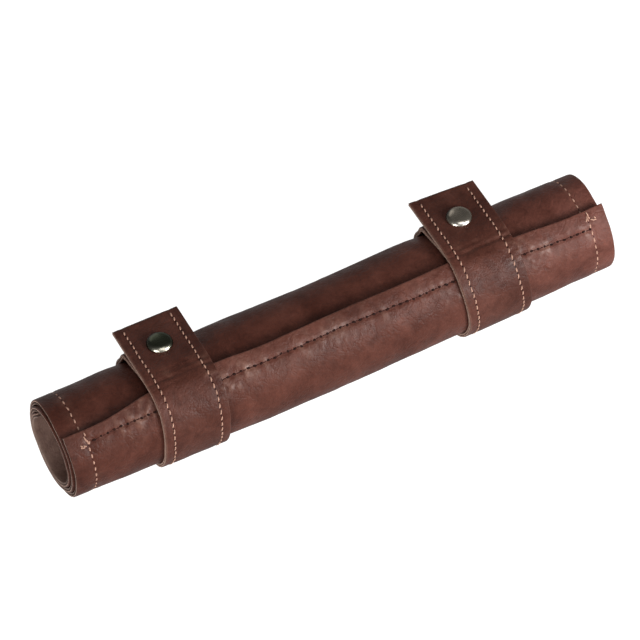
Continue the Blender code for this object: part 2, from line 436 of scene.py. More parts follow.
# ---------------------------------------------------------------- materials
def leather_grain(tree, vector, fine, medium):
    """Height of small pebbles, pores and hair creases."""
    warp = add(tree, "ShaderNodeTexNoise", Scale=0.5, Vector=vector)
    warped = add(tree, "ShaderNodeVectorMath", {"operation": "MULTIPLY_ADD"})
    feed(tree, warped.inputs[0], warp.outputs["Color"])
    warped.inputs[1].default_value = (1.6, 1.6, 1.6)
    feed(tree, warped.inputs[2], vector)
    pebbles = add(tree, "ShaderNodeTexVoronoi", {"feature": "F1"}, Scale=1.15,
                  Vector=warped.outputs[0])
    creases = add(tree, "ShaderNodeTexVoronoi", {"feature": "DISTANCE_TO_EDGE"}, Scale=0.16,
                  Vector=warped.outputs[0])
    line = ramp(tree, creases.outputs["Distance"], [(0.0, 0.0), (0.06, 1.0)])
    height = calc(tree, "MULTIPLY", pebbles.outputs["Distance"], -0.5)
    for layer, weight in ((fine, 0.9), (medium, 1.6), (line, 0.35)):
        height = calc(tree, "ADD", height, calc(tree, "MULTIPLY", layer, weight))
    return height


def leather(name, dark, mid, lit, worn_and_highlight_colour, rough=(0.34, 0.56), grain=1.0, offset=0.0, painted_light_gradient=True):
    """Mottled leather; painted light makes it paler towards +X when the gradient is on, and the
    wear attribute, which also holds painted highlights, bares it.
    """
    material, tree, shader = new_material(name)
    uv = add(tree, "ShaderNodeUVMap", {"uv_map": "UVMap"})
    mapping = add(tree, "ShaderNodeMapping")
    mapping.inputs["Scale"].default_value = (1000, 1000, 1000)      # metres to millimetres
    mapping.inputs["Location"].default_value = (offset, offset * 0.37, offset)
    feed(tree, mapping.inputs[0], uv.outputs[0])
    vector = mapping.outputs[0]

    # three sizes of mottling, each over the one before
    broad = noise(tree, vector, scale=0.045, detail=5, rough=0.6, distort=0.4)
    medium = noise(tree, vector, scale=0.19, detail=5, rough=0.62, distort=0.8)
    fine = noise(tree, vector, scale=0.8, detail=4, rough=0.6, distort=0.3)
    colour = ramp(tree, broad, [(0.30, dark), (0.52, mid), (0.74, lit)])
    blotches = ramp(tree, medium, [(0.34, (0.80, 0.77, 0.75)), (0.52, 1.0),
                                   (0.72, (1.16, 1.16, 1.15))])
    colour = mix(tree, 1.0, colour, blotches, "MULTIPLY")
    speckle = ramp(tree, fine, [(0.35, (0.91, 0.90, 0.90)), (0.65, 1.08)])
    colour = mix(tree, 1.0, colour, speckle, "MULTIPLY")
    if painted_light_gradient:
        # painted light: darker towards -X and paler towards +X, where the lamps fall
        split = add(tree, "ShaderNodeSeparateXYZ")
        feed(tree, split.inputs[0], uv.outputs[0])
        # 0 to 1 over 250 mm along X
        along = calc(tree, "ADD", calc(tree, "MULTIPLY", split.outputs[0], 4.0), 0.5)
        gradient = ramp(tree, along, [
            (0.0, (0.84, 0.76, 0.72)), (0.25, (0.95, 0.88, 0.85)), (0.45, (1.00, 0.94, 0.91)),
            (0.80, (1.14, 1.12, 1.13)), (1.0, (1.42, 1.44, 1.54))])
        colour = mix(tree, 1.0, colour, gradient, "MULTIPLY")

    # the wear attribute carries real wear and also painted highlights by the hem and along the
    # straps' -X edges
    wear_and_highlight = add(tree, "ShaderNodeAttribute", {"attribute_name": "wear_and_highlight"})
    patches = ramp(tree, noise(tree, vector, scale=0.55, detail=4, rough=0.6),
                   [(0.3, 0.25), (0.65, 1.0)])
    wear_and_highlight_mask = calc(tree, "MULTIPLY", wear_and_highlight.outputs["Fac"], patches, clamp=True)
    feed(tree, shader.inputs["Base Color"], mix(tree, wear_and_highlight_mask, colour, worn_and_highlight_colour))

    bump(tree, shader, leather_grain(tree, vector, fine, medium),
         strength=0.75 * grain, distance=0.00022)
    gloss = ramp(tree, noise(tree, vector, scale=0.12, detail=4, rough=0.6),
                 [(0.3, rough[0]), (0.7, rough[1])])
    feed(tree, shader.inputs["Roughness"], gloss)
    shader.inputs["Specular IOR Level"].default_value = 0.16
    # worn leather is polished, and the painted highlights get the same coat; the added term is
    # the coat on unworn leather
    coat = calc(tree, "ADD", calc(tree, "MULTIPLY", wear_and_highlight_mask, 0.75), 0.0)
    feed(tree, shader.inputs["Coat Weight"], coat)
    shader.inputs["Coat Roughness"].default_value = 0.3
    return material


def plain(name, colour, rough, spread, scale, bumpy, depth=0.0001):
    """Matt material, its colour varied by the given spread."""
    material, tree, shader = new_material(name)
    coords = add(tree, "ShaderNodeTexCoord")
    mottle = noise(tree, coords.outputs["Object"], scale, detail=4, rough=0.6)
    low = tuple(c * (1 - spread) for c in colour)
    high = tuple(min(1, c * (1 + spread)) for c in colour)
    feed(tree, shader.inputs["Base Color"], ramp(tree, mottle, [(0.35, low), (0.65, high)]))
    shader.inputs["Specular IOR Level"].default_value = 0.14
    gloss = ramp(tree, mottle, [(0.3, rough * 0.85), (0.7, min(1.0, rough * 1.15))])
    feed(tree, shader.inputs["Roughness"], gloss)
    if bumpy:
        bump(tree, shader, mottle, bumpy, depth)
    return material


COVER_LEATHER = leather(
    "cover_leather", dark=(0.062, 0.019, 0.0125), mid=(0.098, 0.033, 0.0225),
    lit=(0.135, 0.050, 0.036), worn_and_highlight_colour=(0.27, 0.135, 0.095))
STRAP_LEATHER = leather(
    "strap_leather", dark=(0.056, 0.017, 0.0115), mid=(0.088, 0.029, 0.0195),
    lit=(0.118, 0.042, 0.030), worn_and_highlight_colour=(0.26, 0.13, 0.09), offset=37.0, painted_light_gradient=False)
LINING_LEATHER = leather(
    "lining_leather", dark=(0.25, 0.165, 0.138), mid=(0.34, 0.235, 0.20),
    lit=(0.42, 0.30, 0.26), worn_and_highlight_colour=(0.36, 0.26, 0.21), rough=(0.55, 0.75), grain=0.7,
    offset=81.0)
POCKET_LEATHER = leather(
    "pocket_leather", dark=(0.075, 0.030, 0.021), mid=(0.125, 0.052, 0.037),
    lit=(0.17, 0.078, 0.058), worn_and_highlight_colour=(0.34, 0.2, 0.15), rough=(0.45, 0.65), grain=0.9,
    offset=123.0)
PLY_EDGE = plain("ply_edge", (0.46, 0.31, 0.25), rough=0.72, spread=0.3, scale=1400,
                 bumpy=0.6)
STRAP_EDGE = plain("strap_ply_edge", (0.50, 0.33, 0.26), rough=0.62, spread=0.3, scale=1400,
                   bumpy=0.6)
SHADED_EDGE = plain("ply_edge_shade", (0.10, 0.062, 0.05), rough=0.8, spread=0.3, scale=1400,
                    bumpy=0.6)
THREAD = plain("thread", (0.50, 0.29, 0.215), rough=0.62, spread=0.25, scale=2600,
               bumpy=0.8, depth=0.00012)
HEM_THREAD = plain("thread_hem", (0.06, 0.018, 0.013), rough=0.65, spread=0.3, scale=2600,
                   bumpy=0.8, depth=0.00012)
# needle holes: near-black discs of painted shade, for the shade inside each hole
HOLE_SHADE = plain("needle_hole_shade", (0.022, 0.007, 0.005), rough=0.8, spread=0.2, scale=900, bumpy=0)


# ---------------------------------------------------------------- mesh making
def set_floats(mesh, name, values):
    layer = mesh.attributes.new(name, "FLOAT", "POINT")
    layer.data.foreach_set("value", values.astype(np.float32))


def make_mesh(name, verts, faces, materials, face_slots=None, uv=None, wear_and_highlight=None,
              normals=None):
    """Object from vertices in the roll frame; normals are per face corner."""
    mesh = bpy.data.meshes.new(name)
    verts = np.array(verts, float)
    verts[:, 2] = np.maximum(verts[:, 2], -AXIS_Z + 0.005)        # rests on the table
    mesh.from_pydata(world(verts).tolist(), [], faces)
    for material in materials:
        mesh.materials.append(material)
    if face_slots is not None:
        mesh.polygons.foreach_set("material_index", np.asarray(face_slots, np.int32))
    ob = bpy.data.objects.new(name, mesh)
    bpy.context.scene.collection.objects.link(ob)
    layer = mesh.uv_layers.new(name="UVMap")
    if uv is not None:
        corner_vert = np.zeros(len(mesh.loops), np.int32)
        mesh.loops.foreach_get("vertex_index", corner_vert)
        layer.data.foreach_set("uv", (uv[corner_vert] * MM).astype(np.float32).ravel())
    if wear_and_highlight is not None:
        set_floats(mesh, "wear_and_highlight", wear_and_highlight)
    mesh.polygons.foreach_set("use_smooth", np.ones(len(mesh.polygons), bool))
    mesh.update()
    if normals is not None:
        mesh.normals_split_custom_set(normals.astype(float).tolist())
    return ob


def grid_normals(points, toward):
    """Unit normals of a grid, on the side that toward points to."""
    normals = np.cross(np.gradient(points, axis=0), np.gradient(points, axis=1))
    normals /= np.linalg.norm(normals, axis=2, keepdims=True) + 1e-12
    return normals * np.where(np.sum(normals * toward, -1) < 0, -1, 1)[..., None]


def surface(q, x):
    """Grid points of the sheet's mid surface and their outward normals."""
    points = np.stack([x, *base(q, x)], -1)
    return points, grid_normals(points, points * np.array([0, 1, 1]))


class Ply(NamedTuple):
    """Grids of one ply: rows run along the roll, columns along X."""
    face: np.ndarray
    back: np.ndarray
    face_normals: np.ndarray
    back_normals: np.ndarray
    uv: np.ndarray
    wear_and_highlight: np.ndarray
    materials: list           # of the face; of the back and the raw edges


def ply_piece(name, ply, first, last):
    """Closed piece of a ply from grid rows first to last."""
    rows = slice(first, last + 1)
    row_count, column_count = ply.face[rows].shape[:2]
    count = row_count * column_count
    index = np.arange(count).reshape(row_count, column_count)
    verts = np.concatenate([ply.face[rows].reshape(-1, 3), ply.back[rows].reshape(-1, 3)])

    a, b, c, d = index[:-1, :-1], index[:-1, 1:], index[1:, 1:], index[1:, :-1]
    face_quads = np.stack([a, d, c, b], -1).reshape(-1, 4)
    back_quads = np.stack([a, b, c, d], -1).reshape(-1, 4) + count

    def wall(line, flip):
        """Quads joining one border line of the face to the back."""
        here, there = line[:-1], line[1:]
        if flip:
            return np.stack([here, here + count, there + count, there], -1)
        return np.stack([here, there, there + count, here + count], -1)

    faces = np.concatenate([
        face_quads, back_quads, wall(index[:, 0], True), wall(index[:, -1], False),
        wall(index[0], False), wall(index[-1], True)])
    # make the winding agree with the face's normals
    corners = verts[face_quads[len(face_quads) // 2]]
    wound = np.cross(corners[1] - corners[0], corners[2] - corners[0])
    if wound @ ply.face_normals[(first + last) // 2, column_count // 2] < 0:
        faces = faces[:, ::-1]
    slots = np.ones(len(faces), int)
    slots[:len(face_quads)] = 0

    # grid normals on the face and the back, flat ones on the edges
    grid = np.concatenate([ply.face_normals[rows].reshape(-1, 3),
                           ply.back_normals[rows].reshape(-1, 3)])
    normals = grid[faces]
    edges_from = len(face_quads) + len(back_quads)
    edge = verts[faces[edges_from:]]
    flat = np.cross(edge[:, 2] - edge[:, 0], edge[:, 3] - edge[:, 1])
    flat /= np.linalg.norm(flat, axis=1, keepdims=True) + 1e-12
    normals[edges_from:] = flat[:, None, :]

    face_uv = ply.uv[rows].reshape(-1, 2)
    uv = np.concatenate([face_uv, face_uv + np.array([0.0, 900.0])])
    wear_and_highlight = np.concatenate([ply.wear_and_highlight[rows].ravel(), np.zeros(count)])
    return make_mesh(name, verts, faces.tolist(), ply.materials, slots, uv, wear_and_highlight,
                     normals.reshape(-1, 3))


def ring_faces(rings, closed=False):
    """Skin successive rings of vertex numbers; a ring of one is a pole."""
    faces = []
    for ring, after in zip(rings, rings[1:] + (rings[:1] if closed else [])):
        count = max(len(ring), len(after))
        for g in range(count):
            h = (g + 1) % count
            if len(ring) == 1:
                faces.append((ring[0], after[h], after[g]))
            elif len(after) == 1:
                faces.append((after[0], ring[g], ring[h]))
            else:
                faces.append((ring[g], ring[h], after[h], after[g]))
    return faces


LOOP_SIDES = 8
# (place along the loop from -1 to 1, share of its radius)
LOOP_RINGS = [(-1.0, 0.0), (-0.86, 0.62), (-0.5, 0.95), (0.0, 1.05), (0.5, 0.95),
              (0.86, 0.62), (1.0, 0.0)]


def thread_loops(name, loops, material, radius, flatness=0.75):
    """One mesh of small thread loops, each (centre, along, normal, length)."""
    verts, faces, uvs = [], [], []
    for centre, along, normal, length in loops:
        along = along / np.linalg.norm(along)
        normal = normal - along * (normal @ along)
        normal /= np.linalg.norm(normal)
        across = np.cross(along, normal)
        rings = []
        for place, share in LOOP_RINGS:
            # the loop dives into its holes at both ends
            middle = (centre + along * (place * length / 2)
                      + normal * (0.16 - 0.34 * place * place))
            start = len(verts)
            if share == 0:
                verts.append(middle)
                uvs.append((0, place))
            else:
                for g in range(LOOP_SIDES):
                    angle = 2 * math.pi * g / LOOP_SIDES
                    verts.append(middle + across * (math.cos(angle) * share * radius)
                                 + normal * (math.sin(angle) * share * radius * flatness))
                    uvs.append((g / LOOP_SIDES, place))
            rings.append(list(range(start, len(verts))))
        faces += ring_faces(rings)
    return make_mesh(name, verts, faces, [material], uv=np.array(uvs, float))


# ---------------------------------------------------------------- the sheet
def sheet_rows():
    """q of every grid row, and the (first, last) row of each piece."""
    rows, spans = [], {}
    for k in range(PANELS - 1):
        count = 24 if k < 2 else 18 if k < 9 else 10
        if k == 0:
            # closer rows at the flap's edge
            rows += list(np.unique(np.concatenate([[0, 0.008, 0.02, 0.045, 0.08],
                                                   np.linspace(0.1, 1, count)])))
            first = 0
        else:
            first = len(rows) - 1
            rows += list(k + np.linspace(0, 1, count + 1)[1:])
        spans[k] = (first, len(rows) - 1)
    # the inner end runs past the last cut
    rows += list(np.linspace(22, 22.72, 8)[1:]) + [22.735, 22.745, SHEET_END]
    spans[PANELS - 2] = (first, len(rows) - 1)
    return np.array(rows), spans


def sheet_columns():
    """Column places from -1 to 1, closer together near both edges."""
    margin = 2.0 / SHEET_HALF
    inner = np.linspace(-1 + margin, 1 - margin, 270)
    left = -1 + np.array([0, 0.12, 0.3, 0.6, 1.0, 1.5]) / SHEET_HALF
    return np.unique(np.concatenate([left, inner, -left[::-1]]))


def sheet_grid(rows):
    """q and x of every grid point; the ends wander a little."""
    low, high = -SHEET_HALF + slip(rows), SHEET_HALF + slip(rows)
    left = (0.22 * vnoise(rows * 2.1, 0.5, 61)
            + 0.9 * (smooth(rows, 1.5, 4) * (1 - smooth(rows, 6, 8.5))) - 0.3)
    right = 0.22 * vnoise(rows * 2.1, 0.5, 62) + 0.3
    across = (sheet_columns() + 1) / 2
    x = (low + left)[:, None] + across * (high + right - low - left)[:, None]
    q = np.repeat(rows[:, None], x.shape[1], 1)
    # the flap's rows start at its own, slightly bowed, edge
    edge = flap_edge(x)
    return np.where(q < 1, edge + (1 - edge) * q, q), x


def sheet_plies(q, x):
    """The cover outside and the lining inside."""
    mid, outward = surface(q, x)
    s = arc_mm(q)
    from_flap = (q - flap_edge(x)) * PANEL_LENGTH
    from_left = x - x[:, :1]
    from_right = x[:, -1:] - x
    from_inner = arc_mm(SHEET_END) - s
    edge = np.minimum(np.minimum(from_left, from_right),
                      np.minimum(from_flap + 0.02, from_inner + 0.02))
    edge = np.maximum(edge, 0)
    drop = rounded(edge, 0.45)
    gap = outward * (PLY_GAP + rounded(edge, 0.3) * 0.5)[..., None]
    uv = np.stack([x, s], -1)

    height, wear_and_highlight = relief(q, x, from_flap, from_left, from_right)
    face = mid + outward * (PLY + height - drop)[..., None]
    cover = Ply(face, mid + gap, grid_normals(face, outward), -outward, uv, wear_and_highlight,
                [COVER_LEATHER, PLY_EDGE])

    # the lining has soft waves and seam grooves of its own
    height = 0.08 * vnoise(x / 8, s / 8, 71) + 0.03 * vnoise(x / 2.5, s / 2.5, 72)
    for distance, seam in ((from_left, SEAM_LEFT), (from_right, SEAM_RIGHT),
                           (from_flap, EDGE_SEAM), (from_inner, EDGE_SEAM)):
        height = height - 0.28 * hump(distance - seam, 0.7)
    face = mid - outward * (PLY + height - drop)[..., None]
    lining = Ply(face, mid - gap, grid_normals(face, -outward), outward, uv,
                 np.clip(0.5 * hump(edge, 1.0), 0, 1), [LINING_LEATHER, SHADED_EDGE])
    return cover, lining


row_q, sheet_spans = sheet_rows()
cover_ply, lining_ply = sheet_plies(*sheet_grid(row_q))
for k, (first, last) in sheet_spans.items():
    cover = ply_piece(f"cover_{k + 1:02d}", cover_ply, first, last)
    lining = ply_piece(f"lining_{k + 1:02d}", lining_ply, first, last)
    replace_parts(cover, cover_node(k), cover_node(k + 1))
    for piece in (cover, lining):
        bend(piece, k)


# ---------------------------------------------------------------- sheet seams
SEAM_Q = np.linspace(0, 22.8, 3000)
SEAM_ARC = arc_mm(SEAM_Q)
OUTSIDE, INSIDE = 1, -1      # the cover's face and the lining's face
HEM_X = np.arange(-112.5, 113.5, SEAM_PITCH)
INNER_END_X = np.arange(-112.5, 112.0, SEAM_PITCH)

threads, hems, hole_shades = defaultdict(list), defaultdict(list), defaultdict(list)


def q_at_arc(s):
    return float(np.interp(s, SEAM_ARC, SEAM_Q))


def piece_of(q):
    """Number of the sheet piece that holds q."""
    return int(min(max(math.floor(q), 0), PANELS - 2))


def sheet_point(q, x, side, sink):
    """Point on a face of the sheet, direction along the sheet, and the face's normal."""
    near_q = np.array([q, q + 0.002, q])
    near_x = np.array([x, x, x + 0.05])
    points = np.stack([near_x, *base(near_q, near_x)], -1)
    along = points[1] - points[0]
    normal = np.cross(along, points[2] - points[0])
    normal /= np.linalg.norm(normal)
    if normal[1:] @ points[0][1:] < 0:
        normal = -normal
    if side == OUTSIDE:
        # only the height is wanted, so the distance from the flap doesn't matter
        height = PLY + relief(q, x, 20.0, x - (-SHEET_HALF + slip(q)),
                              (SHEET_HALF + slip(q)) - x)[0]
    else:
        height = 0.78
    return (points[0] + normal * side * (height - sink), along / np.linalg.norm(along),
            normal * side)


def sew_ends():
    """Seams along both ends, on both faces."""
    for s in np.arange(arc_mm(0.50), arc_mm(22.35), SEAM_PITCH):
        q = q_at_arc(s)
        for end in (-1, 1):
            x = slip(q) + (-SHEET_HALF + SEAM_LEFT if end < 0 else SHEET_HALF - SEAM_RIGHT)
            wander = rng.normal(0, 0.06)
            for side in (OUTSIDE, INSIDE):
                point, along, normal = sheet_point(q, x + wander, side, 0.05)
                along = along + X_AXIS * rng.normal(0, 0.13)
                threads[piece_of(q)].append((point, along, normal,
                                             2.35 + rng.normal(0, 0.2)))
            # a dark disc of painted shade in the needle hole between stitches
            hole_q = q_at_arc(s + SEAM_PITCH / 2)
            point, along, normal = sheet_point(hole_q, x, OUTSIDE, 0.0)
            hole_shades[piece_of(hole_q)].append((point - normal * 0.12, along, normal, 0.75))


def sew_hem():
    """Seam along the flap's edge: dark thread and torn holes outside, the holes as dark discs
    of painted shade, pale thread inside.
    """
    for x in HEM_X:
        q = float(hem_line(x))
        point, along, normal = sheet_point(q, x + rng.normal(0, 0.08), OUTSIDE, 0.10)
        hems[piece_of(q)].append((point, X_AXIS + along * rng.normal(0, 0.06), normal, 2.2))
        point, _, normal = sheet_point(q, x, INSIDE, 0.05)
        threads[piece_of(q)].append((point, X_AXIS, normal, 2.3))
        hole_x = x + SEAM_PITCH / 2
        q = float(hem_line(hole_x))
        point, along, normal = sheet_point(q, hole_x, OUTSIDE, 0.0)
        rng.random()         # holds the place of one draw in the random sequence
        hole_shades[piece_of(q)].append((
            point + normal * 0.03 + along * rng.normal(0, 0.18),
            X_AXIS + along * rng.normal(0.1, 0.4), normal, rng.uniform(1.3, 2.3)))


def sew_inner_end():
    q = q_at_arc(arc_mm(SHEET_END) - EDGE_SEAM)
    for x in INNER_END_X:
        for side in (OUTSIDE, INSIDE):
            point, _, normal = sheet_point(q, x, side, 0.05)
            threads[piece_of(q)].append((point, X_AXIS, normal, 2.3))


def sew_corner(end, x, q):
    """A few crossing loops at one of the flap's corners; end is -1 or 1."""
    # offsets along X and along the sheet, angle from X, length
    tacks = [(0.3 * end, -1.7, 1.4, 2.2), (0.3, -0.5, 1.2, 2.0), (2.3 * end, 1.3, 0.15, 1.9),
             (2.7 * end, 0.5, 1.1, 1.3), (-1.0 * end, 0.3, 2.0, 1.6),
             (1.3 * end, 0.9, 0.5, 1.6)]
    for offset_x, offset_s, angle, length in tacks:
        tack_q = q + offset_s / PANEL_LENGTH
        point, along, normal = sheet_point(tack_q, x + offset_x, OUTSIDE, -0.06)
        way = X_AXIS * math.cos(angle) + along * math.sin(angle)
        threads[piece_of(tack_q)].append((point, way, normal, length))


sew_ends()
sew_hem()
sew_inner_end()
sew_corner(-1, x=-SHEET_HALF + SEAM_LEFT - 0.4, q=0.70)
sew_corner(1, x=SHEET_HALF - SEAM_RIGHT + 0.2, q=0.50)

for k in range(PANELS - 1):
    for kind, store, material, radius, flatness in (
            ("seam", threads, THREAD, 0.31, 0.75),
            ("hem_thread", hems, HEM_THREAD, 0.25, 0.75),
            ("needle_hole_shades", hole_shades, HOLE_SHADE, 0.46, 0.3)):
        if store[k]:
            loops = thread_loops(f"{kind}_{k + 1:02d}", store[k], material, radius, flatness)
            bend(loops, k)


# ---------------------------------------------------------------- pockets
def pocket_rows():
    """q of every grid row, and the (first, last) row of each piece."""
    rows, spans = [], {}
    cuts = [POCKET_Q[0], *range(9, 20), POCKET_Q[1]]
    for start, end in zip(cuts, cuts[1:]):
        steps = 7 if end - start < 0.9 else 14
        first = max(len(rows) - 1, 0)
        stations = list(np.linspace(start, end, steps + 1))
        rows += stations[1:] if rows else stations
        spans[int(start)] = (first, len(rows) - 1)
    return np.array(rows), spans


pocket_q, pocket_spans = pocket_rows()
pocket_across = np.concatenate([
    [0, 0.002, 0.006], np.linspace(0.012, 0.988, 90), [0.994, 0.998, 1.0]])
grid_q = np.repeat(pocket_q[:, None], len(pocket_across), 1)
pocket_x = (POCKET_X[0] + slip(grid_q)
            + pocket_across[None, :] * (POCKET_X[1] - POCKET_X[0]))
pocket_mid, pocket_outward = surface(grid_q, pocket_x)


def pocket_ply(q, x, mid, outward):
    """One ply under the lining, puffed into a channel round each whole q."""
    s = arc_mm(q)
    phase = (q - 0.5) % 1.0
    puff = (0.42 * (1 - np.abs(2 * phase - 1) ** 2.6)
            * (0.55 + 0.45 * smooth(x - POCKET_X[0], 0, 30)))
    puff = puff + 0.04 * vnoise(x / 6, s / 5, 81)
    from_left, from_right = x - x[:, :1], x[:, -1:] - x
    from_ends = np.minimum(s - arc_mm(POCKET_Q[0]), arc_mm(POCKET_Q[1]) - s)
    edge = np.minimum(np.minimum(from_left, from_right), from_ends + 0.02)
    edge = np.maximum(edge, 0)
    for distance in (from_left, from_right):
        puff = puff - 0.12 * hump(distance - 3.5, 0.6)
    inner = mid - outward * (1.75 + puff - rounded(edge, 0.3))[..., None]
    outer = mid - outward * (1.12 + puff * 0.9 + rounded(edge, 0.3) * 0.4)[..., None]
    return Ply(inner, outer, grid_normals(inner, -outward), outward, np.stack([x, s], -1),
               np.clip(0.6 * hump(edge, 0.9), 0, 1), [POCKET_LEATHER, PLY_EDGE])


def pocket_point(q, x):
    """Nearest grid point on the pockets' inner face, and its inward normal."""
    i = int(np.argmin(np.abs(pocket_q - q)))
    j = int(np.argmin(np.abs(pocket_x[i] - x)))
    return pockets.face[i, j], -pocket_outward[i, j]


def pocket_stitches(k):
    """Stitches along the channel boundary in piece k, and across its -X end."""
    stitches = []
    # the first and last lines stay clear of the leather's edge
    inset = {8: 0.06, 19: -0.06}.get(k, 0.0)
    for x in np.arange(POCKET_X[0] + 4.5, POCKET_X[1] - 2, SEAM_PITCH):
        x = x + slip(k)
        point, normal = pocket_point(k + 0.5 + inset, x)
        stitches.append((np.array([x, point[1], point[2]]), X_AXIS, normal, 2.3))
    x = POCKET_X[0] + 3.5 + slip(k)
    for share in np.linspace(0.1, 0.9, 5):
        q = k + share
        if q < 8.6 or q > 19.4:
            continue
        point, normal = pocket_point(q, x)
        along = pocket_point(q + 0.08, x)[0] - point
        if np.linalg.norm(along) <= 0.05:
            along = np.cross(normal, X_AXIS)
        stitches.append((point, along, normal, 2.2))
    return stitches


pockets = pocket_ply(grid_q, pocket_x, pocket_mid, pocket_outward)
for k, (first, last) in pocket_spans.items():
    piece = ply_piece(f"pocket_{k + 1:02d}", pockets, first, last)
    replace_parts(piece, *[f"pencil_pocket_{m - 8:02d}" for m in (k, k + 1) if 9 <= m <= 19])
    bend(piece, k)
for k in pocket_spans:
    loops = thread_loops(f"pocket_seam_{k + 1:02d}", pocket_stitches(k), THREAD, radius=0.27)
    bend(loops, k)


# ---------------------------------------------------------------- straps
HALF_STRAP = STRAP_WIDTH / 2
STRAP_SEAMS = (-HALF_STRAP + STRAP_SEAM, HALF_STRAP - STRAP_SEAM)
# (degrees, radius) of the tab, from its end under the tip to where it meets the roll
TAB_LINE = [(86, 19.85), (78, 19.85), (68, 19.85), (58, 19.95), (50, 20.4), (44, 21.3),
            (39, 22.4), (35, 23.25), (31.5, 23.65), (28, 23.25), (24, 22.5)]
# creases by the fold: (distance past it, depth, width)
FOLD_CREASES = [(-2.2, 0.65, 0.8), (0.4, 0.30, 0.6), (2.4, 0.14, 0.6), (-5.2, 0.16, 0.8)]
# strap sections from the tab to the tip, and the CAD pieces each stands for
STRAP_SECTIONS = {
    "tab": ["tab", "rear_2"], "wrap_1": ["rear_1", "rear_2"], "wrap_2": ["base"],
    "wrap_3": ["front_1"], "wrap_4": ["front_2"], "wrap_5": ["front_3"],
    "wrap_6": ["over_flap"], "tip": ["tip"]}
WRAP_CUTS = (6, 5, 4, 3, 2, 1)    # q of the cuts between sections
# distance of each snap from the tip's fold line
SNAP_ALONG = {"left": 15.8, "right": 15.0}


def resample(points, step):
    """Even stations on a polyline, and their distances along it."""
    points = np.array(points)
    distance = np.concatenate([[0], np.cumsum(
        np.linalg.norm(np.diff(points, axis=0), axis=1))])
    s = np.linspace(0, distance[-1], int(round(distance[-1] / step)) + 1)
    return np.stack([np.interp(s, distance, points[:, c]) for c in (0, 1)], -1), s


def soften(points, sigma):
    """Gaussian smoothing along a line, sigma in stations; the ends stay put."""
    reach = int(3 * sigma)
    kernel = np.exp(-0.5 * (np.arange(-reach, reach + 1) / sigma) ** 2)
    kernel /= kernel.sum()
    before = 2 * points[0] - points[reach:0:-1]
    after = 2 * points[-1] - points[-2:-reach - 2:-1]
    padded = np.concatenate([before, points, after])
    return np.stack([np.convolve(padded[:, c], kernel, "valid") for c in (0, 1)], -1)


def strap_line(centre_x, tip_length):
    """Middle line of a strap from tab to tip, (y, z), with distances along it."""
    tab = [(r * math.cos(math.radians(a)), r * math.sin(math.radians(a)))
           for a, r in TAB_LINE]
    q = np.linspace(6.35, 0.30, 90)
    y, z = base(q, np.full_like(q, centre_x))
    radius = np.hypot(y, z)
    stand_off = (radius + 2.12) / radius
    wrap = list(zip(y * stand_off, z * stand_off))
    tip = [(m * math.cos(TIP_SLOPE), FOLD_Z - m * math.sin(TIP_SLOPE))
           for m in np.linspace(3.2, tip_length, 60)]
    line, _ = resample(tab + wrap + tip, 0.25)
    return resample(soften(line, 5.0), 0.6)


def strap_columns():
    """Places across a strap, closer together near both edges."""
    fine = np.array([0, 0.12, 0.3, 0.6, 1.0])
    inner = np.linspace(-HALF_STRAP + 1.6, HALF_STRAP - 1.6, 26)
    return np.unique(np.concatenate([-HALF_STRAP + fine, inner, HALF_STRAP - fine]))


def strap_relief(across, along, edge, from_fold, from_snap, seed):
    """Height and wear of a strap's leather, with a painted highlight along its -X edge."""
    height = (0.07 * vnoise(across / 6, along / 6, seed)
              + 0.03 * vnoise(across / 2.2, along / 2.2, seed + 1))
    # creases across the strap where it turns over the flap's edge
    for place, depth, width in FOLD_CREASES:
        strength = 0.55 + 0.45 * vnoise(across / 6 + place, 1.5, seed + 2)
        wander = 0.6 * vnoise(across / 7, place, seed + 3)
        height = height - depth * strength * hump(from_fold - place - wander, width)
    # rippled leather outside the +X seam, below the fold
    ripple_zone = smooth(across, 7.5, 9.5) * hump(from_fold + 9, 9)
    ripple = vnoise(along / 1.1, across / 5, seed + 4)
    height = height + ripple_zone * 0.2 * ripple
    for seam in STRAP_SEAMS:
        height = height - 0.30 * hump(across - seam, 0.65)
        pucker = vnoise(along / 1.3, across / 4, seed + 5)
        height = height + 0.05 * hump(across - seam, 2.0) * pucker
    # leather drawn in round the snap
    height = height - 0.28 * hump(np.hypot(across, from_snap), 6.3, 4)
    scuffs = np.clip(vnoise(across / 2, along / 2, seed + 6), 0, 1)
    # the strong pale band on the -X edge alone is painted highlight, where light catches that
    # edge; the rest is wear
    wear_and_highlight = (0.55 * hump(across + HALF_STRAP, 0.4) + 0.12 * hump(edge, 0.5)
            + 0.3 * hump(from_fold, 3) * scuffs
            + ripple_zone * 0.5 * np.clip(ripple, 0, 1))
    return height, np.clip(wear_and_highlight, 0, 1)


def join_strap(ob, section):
    """Bake a strap section's place into its mesh."""
    if section == "tab":
        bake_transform(ob)
    elif section == "tip":
        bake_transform(ob)
    else:
        panel = 6 - int(section[-1])
        end = panel_mid(panel)
        if panel == 0:
            end = np.array([-4.0, end[1]])
        blend_between(ob, panel_mid(panel + 1), end)


